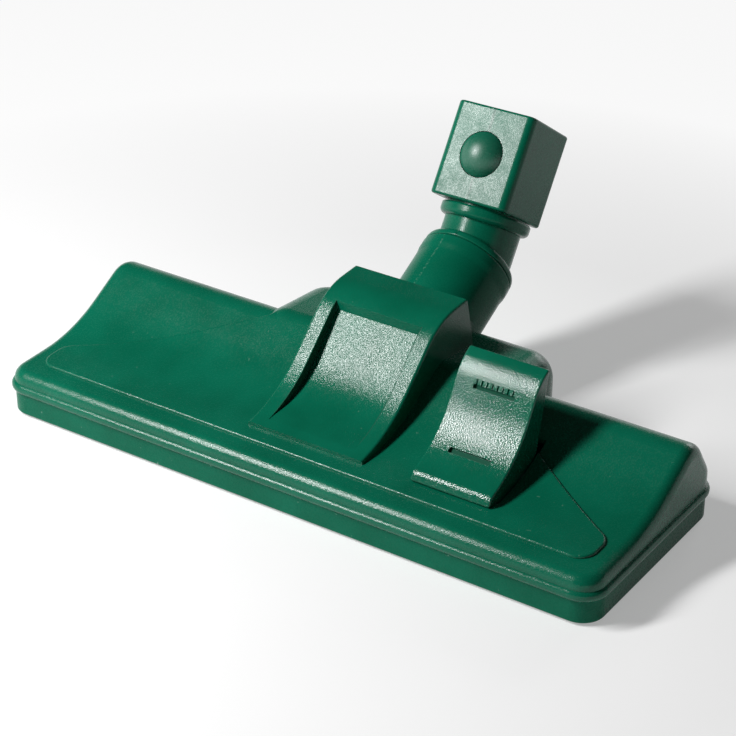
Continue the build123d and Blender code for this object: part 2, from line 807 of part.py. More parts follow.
# Tube that tilts in the head: a drum on two trunnions with a window to the duct, and a collar
with BuildPart() as tilt_tube:
    with BuildSketch(tube_half):
        with BuildLine():
            collar_start = tube_length - collar_length
            FilletPolyline(
                (0, tube_start),
                (tube_radius, tube_start),
                (tube_radius, collar_start),
                (collar_radius, collar_start + 3),
                (collar_radius, tube_length),
                (0, tube_length),
                radius=[0.6, 6, 6, 0.8],
            )
            Line((0, tube_length), (0, tube_start))
        make_face()
    revolve(axis=tube_line)
    add(rod(-drum_half, drum_half, pivot_y, pivot_height, drum_radius))
    add(rod(-bearing_out, bearing_out, pivot_y, pivot_height, trunnion_radius))
    cavity_half = drum_half - drum_wall
    add(rod(-cavity_half, cavity_half, pivot_y, pivot_height, drum_radius - drum_wall), mode=Mode.SUBTRACT)
    add(bar(tube_half, tube_line, 0, tube_length + 1, tube_bore), mode=Mode.SUBTRACT)
    groove_low = clip_low - run_gap
    groove_high = clip_high + run_gap
    add(bar(tube_half, tube_line, groove_low, groove_high, clip_radius + run_gap), mode=Mode.SUBTRACT)
    wedge = polygon_yz([(pivot_y, pivot_height), window_ray(window_low), window_ray(window_high)])
    extrude(wedge, amount=window_half, both=True, mode=Mode.SUBTRACT)

# Bent neck: spigot and flange on the tube's axis, ring and square plug on the neck's axis
with BuildPart() as elbow_form:
    with BuildSketch(tube_half):
        with BuildLine():
            flange_end = flange_start + flange_thick
            FilletPolyline(
                (0, flange_start),
                (flange_radius, flange_start),
                (flange_radius, flange_end),
                (0, flange_end),
                radius=[0.6, flange_round],
            )
            Line((0, flange_end), (0, flange_start))
        make_face()
    revolve(axis=tube_line)
    add(bar(tube_half, tube_line, flange_start - spigot_length, flange_start + 1, spigot_radius))
    add(bar(tube_half, tube_line, flange_start, flange_start + bend_reach, neck_radius))
    add(Sphere(neck_radius, mode=Mode.PRIVATE).moved(Location(bend)))
    add(bar(neck_half, neck_line, 0, plug_start + 1, neck_radius))
    with BuildSketch(neck_half):
        with BuildLine():
            ring_end = ring_start + ring_length
            FilletPolyline(
                (0, ring_start),
                (ring_radius, ring_start),
                (ring_radius, ring_end),
                (0, ring_end),
                radius=[ring_length / 2 - 0.3, 1.2],
            )
            Line((0, ring_end), (0, ring_start))
        make_face()
    revolve(axis=neck_line)
    add(bar(neck_half, neck_line, ring_start, plug_start + 1, neck_radius + 0.9))

with BuildPart() as plug_form:
    with BuildSketch(plug_plane.offset(plug_start)):
        RectangleRounded(plug_side, plug_side, plug_corner)
    extrude(amount=plug_length)
    plug_ends = plug_form.faces().sort_by(neck_line)
    fillet(plug_ends[0].edges() + plug_ends[-1].edges(), 1.2)

with BuildPart() as swivel_elbow:
    add(elbow_form.part)
    add(plug_form.part)
    add(bar(tube_half, tube_line, 0, flange_start + bend_reach, spigot_bore), mode=Mode.SUBTRACT)
    add(Sphere(neck_bore, mode=Mode.PRIVATE).moved(Location(bend)), mode=Mode.SUBTRACT)
    add(bar(neck_half, neck_line, 0, plug_start + plug_floor + 0.1, neck_bore), mode=Mode.SUBTRACT)
    with BuildSketch(plug_plane.offset(plug_start + plug_floor)):
        RectangleRounded(2 * plug_inner, 2 * plug_inner, plug_corner + 0.5)
    extrude(amount=plug_length, mode=Mode.SUBTRACT)
    with BuildSketch(button_plane.offset(plug_inner - 1)):
        Circle(button_radius + run_gap)
    extrude(amount=plug_side, mode=Mode.SUBTRACT)
    with BuildSketch(tube_half) as clip_groove:
        with BuildLine():
            Polyline(
                (clip_seat, clip_low),
                (spigot_radius + 1, clip_low),
                (spigot_radius + 1, clip_high),
                (clip_seat, clip_high),
                close=True,
            )
        make_face()
    revolve(axis=tube_line, mode=Mode.SUBTRACT)
    with BuildSketch(button_plane.offset(plug_inner + 0.5)):
        with GridLocations(1, 2 * lug_offset, 1, 2):
            Rectangle(leaf_width + 5, lug_width)
    extrude(amount=-2.8)
    with BuildSketch(button_plane.offset(plug_inner)):
        with GridLocations(1, 2 * lug_offset, 1, 2):
            Rectangle(leaf_width + 0.4, lug_width + 1)
    extrude(amount=-leaf_thick - 0.4, mode=Mode.SUBTRACT)

# Split ring in the spigot's groove, which keeps the neck in the tube
with BuildPart() as retaining_ring:
    with BuildSketch(tube_half):
        with BuildLine():
            Polyline(
                (clip_seat, clip_low),
                (clip_radius, clip_low),
                (clip_radius, clip_high),
                (clip_seat, clip_high),
                close=True,
            )
        make_face()
    revolve(axis=tube_line)
    with BuildSketch(tube_half):
        with Locations((0, clip_low)):
            Rectangle(clip_gap, 4 * clip_width)
    extrude(amount=-2 * clip_radius, mode=Mode.SUBTRACT)

# Domed button in the plug, with a flange behind the wall
button_back = plug_inner - run_gap - button_flange_thick
with BuildPart() as lock_button:
    with BuildSketch(button_half):
        with BuildLine():
            dome_top = plug_face + button_rise
            Polyline(
                (0, button_back),
                (button_flange, button_back),
                (button_flange, plug_inner - run_gap),
                (button_radius, plug_inner - run_gap),
                (button_radius, plug_face),
            )
            dome_radius = (button_radius**2 + button_rise**2) / (2 * button_rise)
            dome_turn = asin(button_radius / dome_radius) / 2
            dome_side = (
                dome_radius * sin(dome_turn),
                dome_top - dome_radius * (1 - cos(dome_turn)),
            )
            ThreePointArc((button_radius, plug_face), dome_side, (0, dome_top))
            Line((0, dome_top), (0, button_back))
        make_face()
    revolve(axis=Axis(button_base, neck_face))

# Bowed leaf behind the button, held by its ends in the plug's two lugs
with BuildPart() as button_spring:
    leaf_end = plug_inner - 0.1 - leaf_thick / 2
    leaf_middle = button_back - fit_gap - leaf_thick / 2
    leaf_knee = button_flange + 0.9
    leaf_ramp = lug_offset - lug_width / 2 - 0.3
    with BuildSketch(Plane(origin=button_base, x_dir=neck_dir, z_dir=(1, 0, 0))):
        with BuildLine():
            FilletPolyline(
                (-leaf_reach, leaf_end),
                (-leaf_ramp, leaf_end),
                (-leaf_knee, leaf_middle),
                (leaf_knee, leaf_middle),
                (leaf_ramp, leaf_end),
                (leaf_reach, leaf_end),
                radius=1.5,
            )
        trace(line_width=leaf_thick)
    extrude(amount=leaf_width / 2, both=True)

# Steel sole with its openings, and a bridge that keeps rugs out of the mouth
with BuildPart() as glide_plate:
    with BuildSketch():
        RectangleRounded(2 * (half_w - 3), 2 * (half_d - 2.5), corner_radius - 2)
        opening_half = (channel_half - bridge_width / 2) / 2
        opening_x = bridge_width / 2 + opening_half
        channel_y = (channel_front + channel_back) / 2
        with Locations((-opening_x, channel_y), (opening_x, channel_y)):
            Rectangle(2 * opening_half, channel_back - channel_front, mode=Mode.SUBTRACT)
        with Locations((0, brush_front_y)):
            Rectangle(2 * (brush_half + 2), slot_width, mode=Mode.SUBTRACT)
        for low, high in rear_slots:
            with Locations(((low + high) / 2, brush_rear_y)):
                Rectangle(high - low, slot_width, mode=Mode.SUBTRACT)
        with Locations((0, lint_front_y), (0, lint_rear_y)):
            Rectangle(2 * lint_half + 2 * fit_gap, lint_width + 2 * fit_gap, mode=Mode.SUBTRACT)
        with Locations((-wheel_x, wheel_y), (wheel_x, wheel_y)):
            Rectangle(2 * well_half, 2 * well_reach, mode=Mode.SUBTRACT)
        with Locations(*screw_spots):
            Circle(screw_head_radius + 0.6, mode=Mode.SUBTRACT)
    extrude(amount=sole_thick)

# Pile strips along the suction channel
with BuildPart() as front_lint_strip:
    with BuildSketch(Plane.XY.offset(lint_inset)):
        with Locations((0, lint_front_y)):
            Rectangle(2 * lint_half, lint_width)
    extrude(amount=sole_thick - lint_inset)

with BuildPart() as rear_lint_strip:
    with BuildSketch(Plane.XY.offset(lint_inset)):
        with Locations((0, lint_rear_y)):
            Rectangle(2 * lint_half, lint_width)
    extrude(amount=sole_thick - lint_inset)

# Duct from the suction mouth to the drum
duct_front = mouth_front - duct_wall
duct_step = slot_front + 0.5
duct_outer = polygon_yz([
    (duct_front, channel_top),
    (duct_front, duct_front_height),
    (duct_knee_y, duct_knee_height),
    (duct_step, duct_knee_height + 1.7),
    (duct_step, duct_height),
    (pivot_y, duct_height),
    (pivot_y, channel_top),
])
duct_inner = polygon_yz([
    (mouth_front, 0),
    (mouth_front, duct_front_height - 1.2),
    (duct_knee_y + 0.4, duct_knee_height - duct_wall),
    (duct_step + duct_wall, duct_knee_height - duct_wall + 1.8),
    (duct_step + duct_wall, duct_height - duct_wall),
    (tall, duct_height - duct_wall),
    (tall, channel_top + duct_wall),
    (mouth_back, channel_top + duct_wall),
    (mouth_back, 0),
])

with BuildPart() as suction_duct:
    extrude(duct_outer, amount=duct_half, both=True)
    extrude(duct_inner, amount=mouth_half, both=True, mode=Mode.SUBTRACT)
    add(rod(-duct_half - 1, duct_half + 1, pivot_y, pivot_height, seal_back), mode=Mode.SUBTRACT)

# Lip seal between the duct and the drum
with BuildPart() as joint_seal:
    extrude(duct_outer, amount=duct_half, both=True)
    extrude(duct_inner, amount=mouth_half, both=True, mode=Mode.SUBTRACT)
    add(rod(-duct_half, duct_half, pivot_y, pivot_height, seal_back), mode=Mode.INTERSECT)
    add(rod(-duct_half - 1, duct_half + 1, pivot_y, pivot_height, seal_radius), mode=Mode.SUBTRACT)

# Frame that carries the bristle strips, guided on four posts and worked by the pedal's finger
bars = [
    (-brush_half, brush_half, brush_front_y),
    (-brush_half, -brush_rear_start, brush_rear_y),
    (brush_rear_start, brush_half, brush_rear_y),
]
with BuildPart() as brush_carrier:
    for low, high, row in bars:
        add(slab(low, high, row - bar_width / 2, row + bar_width / 2, carrier_low, carrier_top))
    for side in (-1, 1):
        for column in arm_rows:
            arm_low = side * column - arm_width / 2
            arm_front = brush_front_y - bar_width / 2
            arm_back = brush_rear_y + bar_width / 2
            arm_top = carrier_top + arm_thick
            add(slab(arm_low, arm_low + arm_width, arm_front, arm_back, carrier_top - 0.5, arm_top))
            guide_hole = guide_radius + run_gap
            add(post(side * column, guide_y, carrier_low, arm_top + 1, guide_hole), mode=Mode.SUBTRACT)
    for low in (pedal_x - fork_in - fork_thick, pedal_x + fork_in):
        jaw_front = brush_rear_y - bar_width / 2
        jaw_back = brush_rear_y + bar_width / 2
        jaw_top = finger_z + finger_radius + 1.8
        slot_low = finger_z - finger_radius - run_gap
        slot_high = finger_z + finger_radius + run_gap
        add(slab(low, low + fork_thick, jaw_front, jaw_back, carrier_top - 0.5, jaw_top))
        add(
            slab(low - 1, low + fork_thick + 1, jaw_front - 1, jaw_back - 1.2, slot_low, slot_high),
            mode=Mode.SUBTRACT,
        )
    for low, high, row in bars:
        groove_top = carrier_low + strip_height
        groove = slab(low - 1, high + 1, row - strip_width / 2, row + strip_width / 2, 0, groove_top)
        add(groove, mode=Mode.SUBTRACT)


def bristle_strip(low, high, row):
    """Backing strip with a row of tufts that end just above the floor."""
    with BuildPart() as strip:
        strip_top = carrier_low + strip_height
        add(slab(low, high, row - strip_width / 2, row + strip_width / 2, carrier_low, strip_top))
        count = int((high - low - 2 * tuft_radius) / tuft_pitch) + 1
        with BuildSketch(Plane.XY.offset(carrier_low)):
            with Locations(((low + high) / 2, row)):
                with GridLocations(tuft_pitch, 1, count, 1):
                    RegularPolygon(tuft_radius, 8)
        extrude(amount=tuft_clear - carrier_low)
    return strip.part


with BuildPart() as front_bristles:
    add(bristle_strip(*bars[0]))

with BuildPart() as rear_bristles_left:
    add(bristle_strip(*bars[1]))

with BuildPart() as rear_bristles_right:
    add(bristle_strip(*bars[2]))


def wheel_at(x):
    """Roller with a bore for its axle."""
    with BuildPart() as roller:
        add(rod(x - wheel_width / 2, x + wheel_width / 2, wheel_y, wheel_radius, wheel_radius))
        fillet(roller.edges().filter_by(GeomType.CIRCLE), 0.8)
        bore = axle_radius + run_gap
        add(rod(x - wheel_width, x + wheel_width, wheel_y, wheel_radius, bore), mode=Mode.SUBTRACT)
    return roller.part


# Rear rollers and their axles
with BuildPart() as wheel_left:
    add(wheel_at(-wheel_x))

with BuildPart() as wheel_right:
    add(wheel_at(wheel_x))

with BuildPart() as axle_left:
    add(rod(-wheel_x - axle_length / 2, -wheel_x + axle_length / 2, wheel_y, wheel_radius, axle_radius))

with BuildPart() as axle_right:
    add(rod(wheel_x - axle_length / 2, wheel_x + axle_length / 2, wheel_y, wheel_radius, axle_radius))

# Eight screws that hold the base to the cover, driven from below
with BuildPart() as housing_screws:
    for spot in screw_spots:
        add(post(*spot, screw_seat - screw_head_height, screw_seat, screw_head_radius))
        add(post(*spot, screw_seat, screw_seat + screw_length, screw_radius))
        low = screw_seat - screw_head_height
        add(slab(spot[0] - 2, spot[0] + 2, spot[1] - 0.4, spot[1] + 0.4, low, low + 1), mode=Mode.SUBTRACT)
        add(slab(spot[0] - 0.4, spot[0] + 0.4, spot[1] - 2, spot[1] + 2, low, low + 1), mode=Mode.SUBTRACT)

top_cover.part.label = "top_cover"
base_tray.part.label = "base_tray"
channel_insert.part.label = "channel_insert"
joint_hood.part.label = "joint_hood"
pedal.part.label = "pedal"
pedal_pin.part.label = "pedal_pin"
pedal_spring.part.label = "pedal_spring"
tilt_tube.part.label = "tilt_tube"
swivel_elbow.part.label = "swivel_elbow"
retaining_ring.part.label = "retaining_ring"
lock_button.part.label = "lock_button"
button_spring.part.label = "button_spring"
glide_plate.part.label = "glide_plate"
front_lint_strip.part.label = "front_lint_strip"
rear_lint_strip.part.label = "rear_lint_strip"
suction_duct.part.label = "suction_duct"
joint_seal.part.label = "joint_seal"
brush_carrier.part.label = "brush_carrier"
front_bristles.part.label = "front_bristles"
rear_bristles_left.part.label = "rear_bristles_left"
rear_bristles_right.part.label = "rear_bristles_right"
wheel_left.part.label = "wheel_left"
wheel_right.part.label = "wheel_right"
axle_left.part.label = "axle_left"
axle_right.part.label = "axle_right"
housing_screws.part.label = "housing_screws"

os.makedirs("parts", exist_ok=True)
export_step(top_cover.part, "parts/top_cover.step")
export_step(base_tray.part, "parts/base_tray.step")
export_step(channel_insert.part, "parts/channel_insert.step")
export_step(joint_hood.part, "parts/joint_hood.step")
export_step(pedal.part, "parts/pedal.step")
export_step(pedal_pin.part, "parts/pedal_pin.step")
export_step(pedal_spring.part, "parts/pedal_spring.step")
export_step(tilt_tube.part, "parts/tilt_tube.step")
export_step(swivel_elbow.part, "parts/swivel_elbow.step")
export_step(retaining_ring.part, "parts/retaining_ring.step")
export_step(lock_button.part, "parts/lock_button.step")
export_step(button_spring.part, "parts/button_spring.step")
export_step(glide_plate.part, "parts/glide_plate.step")
export_step(front_lint_strip.part, "parts/front_lint_strip.step")
export_step(rear_lint_strip.part, "parts/rear_lint_strip.step")
export_step(suction_duct.part, "parts/suction_duct.step")
export_step(joint_seal.part, "parts/joint_seal.step")
export_step(brush_carrier.part, "parts/brush_carrier.step")
export_step(front_bristles.part, "parts/front_bristles.step")
export_step(rear_bristles_left.part, "parts/rear_bristles_left.step")
export_step(rear_bristles_right.part, "parts/rear_bristles_right.step")
export_step(wheel_left.part, "parts/wheel_left.step")
export_step(wheel_right.part, "parts/wheel_right.step")
export_step(axle_left.part, "parts/axle_left.step")
export_step(axle_right.part, "parts/axle_right.step")
export_step(housing_screws.part, "parts/housing_screws.step")
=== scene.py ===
import math
import random

import bpy
from mathutils import Matrix, Vector


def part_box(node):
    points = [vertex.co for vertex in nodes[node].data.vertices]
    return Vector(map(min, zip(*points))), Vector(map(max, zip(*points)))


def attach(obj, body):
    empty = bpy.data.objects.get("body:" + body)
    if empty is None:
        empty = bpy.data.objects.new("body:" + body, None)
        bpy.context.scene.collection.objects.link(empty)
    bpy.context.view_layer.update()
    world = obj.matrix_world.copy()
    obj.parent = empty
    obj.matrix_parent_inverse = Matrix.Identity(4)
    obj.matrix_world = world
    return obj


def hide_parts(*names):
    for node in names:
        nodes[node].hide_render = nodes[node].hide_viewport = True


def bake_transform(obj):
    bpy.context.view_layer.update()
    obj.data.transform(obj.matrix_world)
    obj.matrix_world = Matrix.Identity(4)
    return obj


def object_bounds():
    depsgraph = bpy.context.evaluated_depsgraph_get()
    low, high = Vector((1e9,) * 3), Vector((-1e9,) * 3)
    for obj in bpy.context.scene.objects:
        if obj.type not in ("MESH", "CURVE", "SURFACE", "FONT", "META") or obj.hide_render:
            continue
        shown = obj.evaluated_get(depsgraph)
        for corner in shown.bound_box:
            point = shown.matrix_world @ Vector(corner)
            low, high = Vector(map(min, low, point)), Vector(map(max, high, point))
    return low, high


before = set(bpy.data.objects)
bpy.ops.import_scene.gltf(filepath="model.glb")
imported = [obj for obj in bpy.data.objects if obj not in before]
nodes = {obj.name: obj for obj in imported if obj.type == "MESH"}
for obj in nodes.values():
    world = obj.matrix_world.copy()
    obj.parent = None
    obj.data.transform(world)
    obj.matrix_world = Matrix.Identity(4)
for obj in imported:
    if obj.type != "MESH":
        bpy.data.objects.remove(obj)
cad_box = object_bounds()


# Colours, and places and sizes that follow the CAD part, in metres

GREEN_LOW = (0.0008, 0.104, 0.056)
GREEN_HIGH = (0.0016, 0.126, 0.070)
# Deep green of the painted shade in the hood's recess line and the pedal's marks
GREEN_PAINTED_SHADE = (0.0006, 0.062, 0.033)
GRAIN_SCALE = 1900.0
TUBE_ANGLE = math.radians(28.3)
NECK_ANGLE = math.radians(56.5)
TUBE_BASE = (0.0, 0.050, 0.0293)
TUBE_DIR = Vector((0.0, math.cos(TUBE_ANGLE), math.sin(TUBE_ANGLE)))
TUBE_UP = Vector((0.0, -math.sin(TUBE_ANGLE), math.cos(TUBE_ANGLE)))
SEAM_TURN = math.radians(12.0)
SEAM_NORMAL = Vector((1.0, 0.0, 0.0)) * math.cos(SEAM_TURN) + TUBE_UP * math.sin(SEAM_TURN)
NECK_DIR = Vector((0.0, math.cos(NECK_ANGLE), math.sin(NECK_ANGLE)))
NECK_FACE = Vector((0.0, -math.sin(NECK_ANGLE), math.cos(NECK_ANGLE)))
PLUG_MIDDLE = Vector(TUBE_BASE) + TUBE_DIR * 0.0575 + NECK_FACE * 0.003
SUNK_HALF = 0.0217
SUNK_FRONT = -0.026
SUNK_BACK = 0.0242
PEDAL_X = 0.07065
MARK_HALF = 0.00975
MARKS = (
    ((PEDAL_X, -0.01554, 0.03344), (0.0, 0.8252, 0.5649), 0.00125),
    ((PEDAL_X, 0.00209, 0.05451), (0.0, 0.4997, 0.8662), 0.000875),
)
STRIP_HEIGHT = 0.0038
TUFT_PITCH = 0.0052
TUFT_RADIUS = 0.0017
FILAMENTS = 34
FILAMENT_RADIUS = 0.00016
BRISTLE_SEED = 11
PRESS_DIR = Vector((0.0, 0.833886, -0.551937))
FLOOR_DROP = 0.0002
FLOOR_HALF = 5.0
BACKDROP_RADIUS = 4.0
BACKDROP_HEIGHT = 1.1
LIGHT_AIM = Vector((-0.016, 0.0, 0.02))
KEY_DIR = Vector((-0.49, -0.53, 0.69))
KEY_AWAY = 0.8
REAR_DIR = Vector((0.05, 0.94, 0.34))
REAR_AWAY = 1.8
CAMERA_PLACE = Vector((0.4594, -0.6594, 0.4962))
CAMERA_SIGHT = Vector((-0.01598, 0.03962, 0.021))
CAMERA_LENS = 107.61
CAMERA_SENSOR = 36.0


# Small helpers for building node materials


def new_material(name):
    material = bpy.data.materials.new(name)
    material.use_nodes = True
    tree = material.node_tree
    shader = tree.nodes["Principled BSDF"]
    return material, tree, shader


def object_space(tree, scale=(1.0, 1.0, 1.0)):
    place = tree.nodes.new("ShaderNodeTexCoord")
    mapping = tree.nodes.new("ShaderNodeMapping")
    mapping.inputs["Scale"].default_value = scale
    tree.links.new(place.outputs["Object"], mapping.inputs["Vector"])
    return mapping.outputs["Vector"]


def noise(tree, vector, scale, detail=2.0, rough=0.5):
    node = tree.nodes.new("ShaderNodeTexNoise")
    node.inputs["Scale"].default_value = scale
    node.inputs["Detail"].default_value = detail
    node.inputs["Roughness"].default_value = rough
    tree.links.new(vector, node.inputs["Vector"])
    return node.outputs["Fac"]


def grains(tree, vector, scale):
    node = tree.nodes.new("ShaderNodeTexVoronoi")
    node.inputs["Scale"].default_value = scale
    tree.links.new(vector, node.inputs["Vector"])
    return node.outputs["Color"], node.outputs["Distance"]


def spread(tree, value, low, high, out_low=0.0, out_high=1.0):
    node = tree.nodes.new("ShaderNodeMapRange")
    node.inputs["From Min"].default_value = low
    node.inputs["From Max"].default_value = high
    node.inputs["To Min"].default_value = out_low
    node.inputs["To Max"].default_value = out_high
    tree.links.new(value, node.inputs["Value"])
    return node.outputs["Result"]


def two_colours(tree, value, first, second):
    node = tree.nodes.new("ShaderNodeMix")
    node.data_type = "RGBA"
    node.inputs[6].default_value = (*first, 1.0)
    node.inputs[7].default_value = (*second, 1.0)
    tree.links.new(value, node.inputs[0])
    return node.outputs[2]


def over(tree, value, colour, second):
    node = tree.nodes.new("ShaderNodeMix")
    node.data_type = "RGBA"
    tree.links.new(colour, node.inputs[6])
    node.inputs[7].default_value = (*second, 1.0)
    tree.links.new(value, node.inputs[0])
    return node.outputs[2]


def bump(tree, value, strength, distance):
    node = tree.nodes.new("ShaderNodeBump")
    node.inputs["Strength"].default_value = strength
    node.inputs["Distance"].default_value = distance
    tree.links.new(value, node.inputs["Height"])
    return node.outputs["Normal"]


def sum_of(tree, kind, first, second):
    node = tree.nodes.new("ShaderNodeMath")
    node.operation = kind
    for index, value in enumerate((first, second)):
        if isinstance(value, float):
            node.inputs[index].default_value = value
        else:
            tree.links.new(value, node.inputs[index])
    return node.outputs[0]


def distance_along(tree, direction, origin):
    place = tree.nodes.new("ShaderNodeTexCoord")
    shift = tree.nodes.new("ShaderNodeVectorMath")
    shift.operation = "SUBTRACT"
    shift.inputs[1].default_value = origin
    dot = tree.nodes.new("ShaderNodeVectorMath")
    dot.operation = "DOT_PRODUCT"
    dot.inputs[1].default_value = direction
    tree.links.new(place.outputs["Object"], shift.inputs[0])
    tree.links.new(shift.outputs[0], dot.inputs[0])
    return dot.outputs["Value"]


def line_mask(tree, value, width):
    return spread(tree, sum_of(tree, "ABSOLUTE", value, 0.0), 0.4 * width, width, 1.0, 0.0)


def edge_mask(tree, value, half):
    return spread(tree, sum_of(tree, "ABSOLUTE", value, 0.0), half - 0.0001, half + 0.0001, 1.0, 0.0)


def moulded_green(name, gloss, grain, rough, scuffs, mottle=0.0, extra=None, shade_and_dull=None):
    """Moulded plastic: grain sets its roughness and bump, extra recolours it, and the shade mask darkens
    it with painted shade and makes it rougher.
    """
    low_rough, high_rough = rough
    material, tree, shader = new_material(name)
    place = object_space(tree)
    cloud = noise(tree, place, 38.0, 3.0)
    tone, dome = grains(tree, place, GRAIN_SCALE)
    colour = two_colours(tree, spread(tree, cloud, 0.35, 0.65), GREEN_LOW, GREEN_HIGH)
    speck = spread(tree, noise(tree, place, 420.0, 2.0), 0.735, 0.775)
    colour = over(tree, sum_of(tree, "MULTIPLY", speck, scuffs), colour, (0.16, 0.30, 0.23))
    finish = spread(tree, tone, 0.25, 0.75, low_rough, high_rough)
    patch = spread(tree, noise(tree, place, 160.0, 3.0), 0.3, 0.7, -mottle, mottle)
    finish = sum_of(tree, "ADD", finish, patch)
    if extra is not None:
        colour = extra(tree, place, colour)
    if shade_and_dull is not None:
        mask = shade_and_dull(tree)
        # Painted shade: the masked recess line and pedal marks are darkened towards a deep green
        colour = over(tree, sum_of(tree, "MULTIPLY", mask, 0.7), colour, GREEN_PAINTED_SHADE)
        finish = sum_of(tree, "MAXIMUM", finish, sum_of(tree, "MULTIPLY", mask, 0.9))
    tree.links.new(colour, shader.inputs["Base Color"])
    tree.links.new(finish, shader.inputs["Roughness"])
    tree.links.new(bump(tree, dome, grain, 0.0002), shader.inputs["Normal"])
    shader.inputs["Specular IOR Level"].default_value = gloss
    return material


def pedal_mark_shade(tree):
    """Mask of the pedal's sunk slot and brush mark, which are smooth inside; painted shade darkens their
    colour and their finish is made rougher.
    """
    across = distance_along(tree, (1.0, 0.0, 0.0), (PEDAL_X, 0.0, 0.0))
    inside = edge_mask(tree, across, MARK_HALF)
    rows = [edge_mask(tree, distance_along(tree, along, spot), half) for spot, along, half in MARKS]
    return sum_of(tree, "MULTIPLY", inside, sum_of(tree, "MAXIMUM", *rows))


def tube_seam(tree, place, colour):
    """Mould parting line along the tube, broken into specks."""
    near = line_mask(tree, distance_along(tree, SEAM_NORMAL, TUBE_BASE), 0.0007)
    side = spread(tree, distance_along(tree, TUBE_UP, TUBE_BASE), 0.008, 0.010)
    broken = spread(tree, noise(tree, place, 1100.0, 2.0), 0.5, 0.62)
    mask = sum_of(tree, "MULTIPLY", sum_of(tree, "MULTIPLY", near, side), broken)
    return over(tree, sum_of(tree, "MULTIPLY", mask, 0.3), colour, (0.2, 0.36, 0.29))


def recess_edge_shade(tree):
    """Mask of a fine line along the inner edge of the hood's rim, where painted shade darkens the colour
    and the finish is made rougher.
    """
    across = sum_of(tree, "ABSOLUTE", distance_along(tree, (1.0, 0.0, 0.0), (0.0, 0.0, 0.0)), 0.0)
    near = line_mask(tree, sum_of(tree, "SUBTRACT", across, SUNK_HALF), 0.0005)
    along = distance_along(tree, (0.0, 1.0, 0.0), (0.0, 0.0, 0.0))
    behind = spread(tree, along, SUNK_FRONT, SUNK_FRONT + 0.008)
    ahead = spread(tree, along, SUNK_BACK, SUNK_BACK + 0.0003, 1.0, 0.0)
    return sum_of(tree, "MULTIPLY", near, sum_of(tree, "MULTIPLY", behind, ahead))


def knit_line(tree, place, colour):
    """Faint knit line above and below the button on the plug's front face."""
    wander = spread(tree, noise(tree, place, 90.0, 2.0), 0.0, 1.0, -0.0016, 0.0016)
    across = sum_of(tree, "ADD", distance_along(tree, (1.0, 0.0, 0.0), PLUG_MIDDLE), wander)
    near = line_mask(tree, across, 0.0008)
    front = spread(tree, distance_along(tree, NECK_FACE, PLUG_MIDDLE), 0.0185, 0.019)
    mask = sum_of(tree, "MULTIPLY", near, front)
    return over(tree, sum_of(tree, "MULTIPLY", mask, 0.5), colour, (0.002, 0.045, 0.026))


def dark_plastic(name):
    material, tree, shader = new_material(name)
    place = object_space(tree)
    cloud = noise(tree, place, 55.0, 3.0)
    fine = noise(tree, place, 1500.0, 2.0)
    colour = two_colours(tree, cloud, (0.012, 0.013, 0.014), (0.03, 0.032, 0.033))
    tree.links.new(colour, shader.inputs["Base Color"])
    tree.links.new(spread(tree, fine, 0.3, 0.7, 0.42, 0.6), shader.inputs["Roughness"])
    tree.links.new(bump(tree, fine, 0.2, 0.0003), shader.inputs["Normal"])
    return material


def drawn_steel(name, along, base, rough):
    material, tree, shader = new_material(name)
    place = object_space(tree, scale=along)
    streak = noise(tree, place, 900.0, 3.0)
    cloud = noise(tree, object_space(tree), 26.0, 3.0)
    bright = tuple(min(1.0, value * 1.22) for value in base)
    tree.links.new(two_colours(tree, cloud, base, bright), shader.inputs["Base Color"])
    tree.links.new(spread(tree, streak, 0.3, 0.7, *rough), shader.inputs["Roughness"])
    tree.links.new(bump(tree, streak, 0.18, 0.0002), shader.inputs["Normal"])
    shader.inputs["Metallic"].default_value = 1.0
    return material


def cut_pile(name):
    material, tree, shader = new_material(name)
    tuft = noise(tree, object_space(tree, scale=(1.0, 0.45, 0.45)), 1400.0, 3.0)
    colour = two_colours(tree, spread(tree, tuft, 0.35, 0.65), (0.16, 0.008, 0.01), (0.36, 0.03, 0.03))
    tree.links.new(colour, shader.inputs["Base Color"])
    tree.links.new(bump(tree, tuft, 0.9, 0.0008), shader.inputs["Normal"])
    shader.inputs["Roughness"].default_value = 0.95
    shader.inputs["Sheen Weight"].default_value = 0.6
    return material


def soft_rubber(name, dark, pale):
    material, tree, shader = new_material(name)
    place = object_space(tree)
    cloud = noise(tree, place, 70.0, 3.0)
    fine = noise(tree, place, 1200.0, 2.0)
    tree.links.new(two_colours(tree, cloud, dark, pale), shader.inputs["Base Color"])
    tree.links.new(spread(tree, fine, 0.3, 0.7, 0.6, 0.8), shader.inputs["Roughness"])
    tree.links.new(bump(tree, fine, 0.25, 0.0003), shader.inputs["Normal"])
    return material


def hair(name):
    material, tree, shader = new_material(name)
    strand = noise(tree, object_space(tree, scale=(1.0, 1.0, 0.04)), 1500.0, 2.0)
    colour = two_colours(tree, spread(tree, strand, 0.3, 0.7), (0.008, 0.008, 0.009), (0.05, 0.05, 0.052))
    tree.links.new(colour, shader.inputs["Base Color"])
    tree.links.new(spread(tree, strand, 0.3, 0.7, 0.35, 0.55), shader.inputs["Roughness"])
    tree.links.new(bump(tree, strand, 0.6, 0.0004), shader.inputs["Normal"])
    return material


